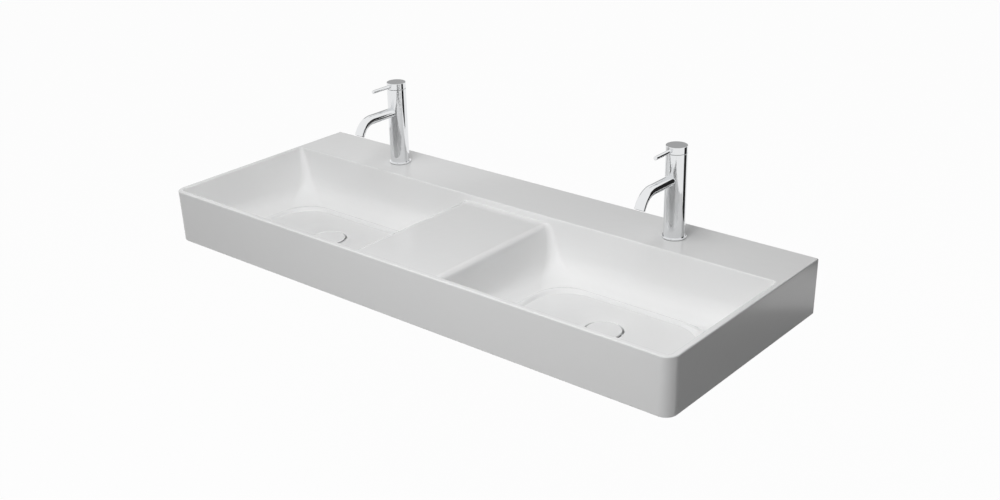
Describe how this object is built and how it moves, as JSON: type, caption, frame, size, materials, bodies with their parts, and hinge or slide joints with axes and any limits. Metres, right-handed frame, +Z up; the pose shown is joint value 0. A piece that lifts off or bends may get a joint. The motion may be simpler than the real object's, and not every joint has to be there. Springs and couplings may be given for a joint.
{
  "type": "double washbasin with mixer taps",
  "caption": "Wall-hung white ceramic washbasin with paired bowls either side of a flat platform, chrome pin-lever mixer taps and ceramic waste covers.",
  "frame": {"origin": "on the wall face, midway between the bowls, at the height of the wall bolts", "axes": "+X along the wall to the right as seen from the front, +Y into the wall, +Z up"},
  "size_m": [1.2, 0.47, 0.3635],
  "materials": {
    "basin_glaze": "gloss white glaze",
    "cover_glaze": "gloss white glaze",
    "tap_chrome": "polished chrome plate",
    "dome_chrome": "polished chrome plate",
    "waste_chrome": "chrome plate on brass",
    "aerator_chrome": "polished chrome plate",
    "nut_brass": "turned brass",
    "stem_brass": "turned brass",
    "seal_rubber": "matte black rubber",
    "slip_plastic": "natural plastic",
    "aerator_plastic": "grey plastic",
    "cartridge_plastic": "white plastic",
    "turret_plastic": "grey plastic",
    "disc_ceramic": "lapped technical ceramic",
    "pin_steel": "ground steel",
    "clamp_steel": "zinc-plated steel"
  },
  "bodies": {
    "root": {"basin": "basin_glaze", "waste_body_left": "waste_chrome", "waste_upper_seal_left": "seal_rubber", "waste_lower_seal_left": "seal_rubber", "waste_slip_washer_left": "slip_plastic", "waste_lock_nut_left": "nut_brass", "base_seal_left": "seal_rubber", "base_ring_left": "tap_chrome", "tap_body_left": "tap_chrome", "spout_left": "tap_chrome", "aerator_housing_left": "aerator_chrome", "aerator_insert_left": "aerator_plastic", "cartridge_left": "cartridge_plastic", "fixed_disc_left": "disc_ceramic", "cartridge_nut_left": "nut_brass", "deck_washer_left": "seal_rubber", "clamp_plate_left": "clamp_steel", "clamp_nut_left": "clamp_steel", "tap_stud_left": "clamp_steel", "waste_body_right": "waste_chrome", "waste_upper_seal_right": "seal_rubber", "waste_lower_seal_right": "seal_rubber", "waste_slip_washer_right": "slip_plastic", "waste_lock_nut_right": "nut_brass", "base_seal_right": "seal_rubber", "base_ring_right": "tap_chrome", "tap_body_right": "tap_chrome", "spout_right": "tap_chrome", "aerator_housing_right": "aerator_chrome", "aerator_insert_right": "aerator_plastic", "cartridge_right": "cartridge_plastic", "fixed_disc_right": "disc_ceramic", "cartridge_nut_right": "nut_brass", "deck_washer_right": "seal_rubber", "clamp_plate_right": "clamp_steel", "clamp_nut_right": "clamp_steel", "tap_stud_right": "clamp_steel"},
    "swivel_left": {"turret_left": "turret_plastic", "dome_left": "dome_chrome", "pivot_pin_left": "pin_steel", "moving_disc_left": "disc_ceramic"},
    "handle_left": {"lever_stem_left": "pin_steel", "handle_cap_left": "tap_chrome", "pin_lever_left": "tap_chrome", "grub_screw_left": "pin_steel"},
    "drain_cover_left": {"waste_cover_left": "cover_glaze", "cover_stem_left": "stem_brass"},
    "swivel_right": {"turret_right": "turret_plastic", "dome_right": "dome_chrome", "pivot_pin_right": "pin_steel", "moving_disc_right": "disc_ceramic"},
    "handle_right": {"lever_stem_right": "pin_steel", "handle_cap_right": "tap_chrome", "pin_lever_right": "tap_chrome", "grub_screw_right": "pin_steel"},
    "drain_cover_right": {"waste_cover_right": "cover_glaze", "cover_stem_right": "stem_brass"}
  },
  "joints": [
    {"name": "tap_swivel_left", "type": "hinge", "parent": "root", "child": "swivel_left", "pos_m": [-0.345, -0.068, 0.204], "axis": [0, 0, 1], "range_deg": [-50, 50]},
    {"name": "lever_tilt_left", "type": "hinge", "parent": "swivel_left", "child": "handle_left", "pos_m": [-0.345, -0.068, 0.204], "axis": [-1, 0, 0], "range_deg": [0, 22]},
    {"name": "cover_lift_left", "type": "slide", "parent": "root", "child": "drain_cover_left", "axis": [0, 0, 1], "range_m": [0, 0.06]},
    {"name": "tap_swivel_right", "type": "hinge", "parent": "root", "child": "swivel_right", "pos_m": [0.345, -0.068, 0.204], "axis": [0, 0, 1], "range_deg": [-50, 50]},
    {"name": "lever_tilt_right", "type": "hinge", "parent": "swivel_right", "child": "handle_right", "pos_m": [0.345, -0.068, 0.204], "axis": [-1, 0, 0], "range_deg": [0, 22]},
    {"name": "cover_lift_right", "type": "slide", "parent": "root", "child": "drain_cover_right", "axis": [0, 0, 1], "range_m": [0, 0.06]}
  ]
}
